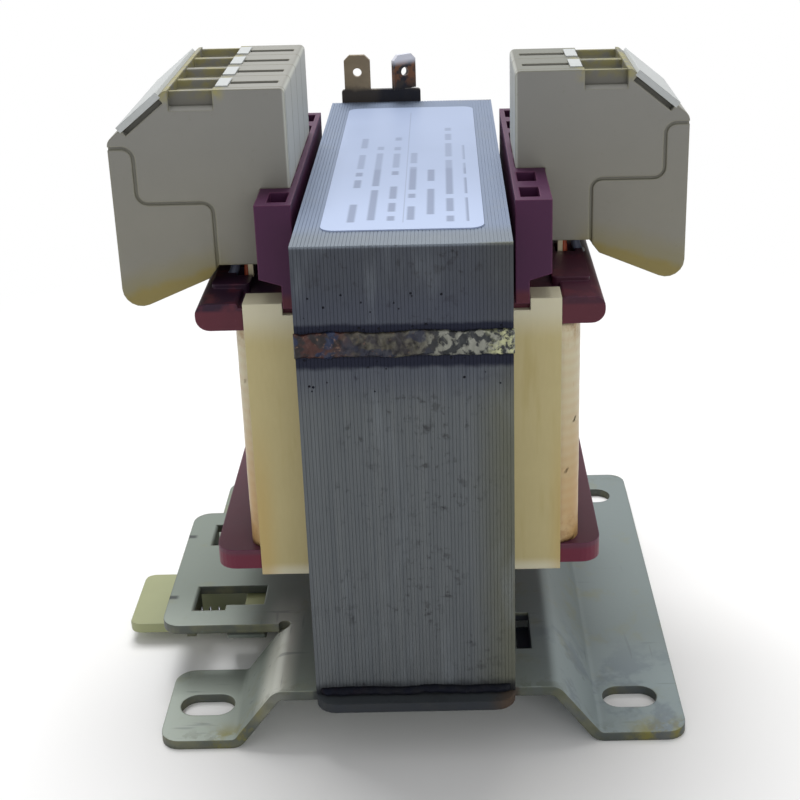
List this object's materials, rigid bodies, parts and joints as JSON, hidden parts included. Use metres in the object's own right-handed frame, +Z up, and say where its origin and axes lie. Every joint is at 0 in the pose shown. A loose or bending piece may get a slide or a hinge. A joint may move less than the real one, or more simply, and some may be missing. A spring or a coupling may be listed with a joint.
{
  "type": "laminated chassis transformer",
  "caption": "Small laminated control transformer on a slotted foot bracket with a rail latch, a wound bobbin and two rows of screw terminals beside the yoke.",
  "frame": {"origin": "middle of the four slots on the mounting plane, under the core", "axes": "+X across the stack of laminations towards the row of two terminals, +Y along the laminations towards the earth tab, +Z up from the mounting plane"},
  "size_m": [0.0919, 0.0892, 0.0964],
  "materials": {
    "zinc_sheet": "zinc plated, dull, slightly yellowed",
    "latch_plastic": "matt moulded",
    "spring_steel": "drawn wire",
    "weld_metal": "as welded, heat stained",
    "core_steel": "oiled edges of laminations",
    "bobbin_plastic": "matt moulded",
    "copper": "enamelled wire",
    "insulation": "varnished sheet",
    "tape": "varnished tape",
    "label_film": "satin film",
    "tinned_steel": "tinned",
    "marker_plastic": "matt",
    "plated_brass": "nickel plated",
    "plated_steel": "zinc plated",
    "lead_sleeve": "sleeved lead",
    "terminal_plastic": "matt moulded"
  },
  "bodies": {
    "chassis": {"base_bracket": "zinc_sheet", "latch_springs": "spring_steel", "foot_welds": "weld_metal", "core_e_stack": "core_steel", "core_i_stack": "core_steel", "core_welds": "weld_metal", "bobbin": "bobbin_plastic", "inner_winding": "copper", "interlayer_insulation": "insulation", "outer_winding": "copper", "outer_tape": "tape", "front_panel": "insulation", "rear_panel": "insulation", "rating_label": "label_film", "earth_tab": "tinned_steel", "left_pole_1": "terminal_plastic", "left_pole_2": "terminal_plastic", "left_pole_3": "terminal_plastic", "left_pole_4": "terminal_plastic", "left_end_plate": "terminal_plastic", "left_marker_strip": "marker_plastic", "right_pole_1": "terminal_plastic", "right_pole_2": "terminal_plastic", "right_end_plate": "terminal_plastic", "right_marker_strip": "marker_plastic", "pole_tags": "marker_plastic", "clamp_cages": "plated_brass", "clamp_screws": "plated_steel", "current_bars": "plated_brass", "coil_leads": "lead_sleeve"},
    "rail_latch": {"rail_latch": "latch_plastic"}
  },
  "joints": [
    {"name": "latch_slide", "type": "slide", "parent": "chassis", "child": "rail_latch", "axis": [-1, 0, 0], "range_m": [0, 0.003], "stiffness_N_per_m": 1500, "springref_m": -0.003, "deforming": ["latch_springs"]}
  ]
}
